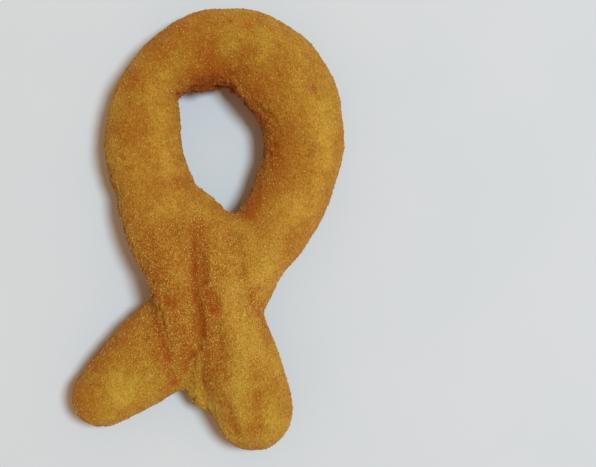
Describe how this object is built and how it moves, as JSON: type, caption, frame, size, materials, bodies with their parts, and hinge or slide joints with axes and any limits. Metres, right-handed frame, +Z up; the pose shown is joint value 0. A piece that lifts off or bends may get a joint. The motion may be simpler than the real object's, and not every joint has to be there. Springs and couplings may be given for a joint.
{
  "type": "twisted doughnut",
  "caption": "Rope of fried dough laid in a loop, its two ends crossed and fused, with a soft golden crust; lies flat as served.",
  "frame": {"origin": "under the middle of the doughnut's box, on the plane that it rests on", "axes": "+Z up from the rest plane, +Y from the crossed ends towards the top of the loop, +X towards the plump side of the loop"},
  "size_m": [0.0928, 0.1498, 0.027],
  "materials": {
    "crust": "soft fried crust, golden, finely grained, with a faint oily gleam",
    "sugar": "fine grains of sugar, steeped golden by the frying oil, with small glints"
  },
  "bodies": {
    "root": {"dough": "crust"}
  },
  "joints": []
}
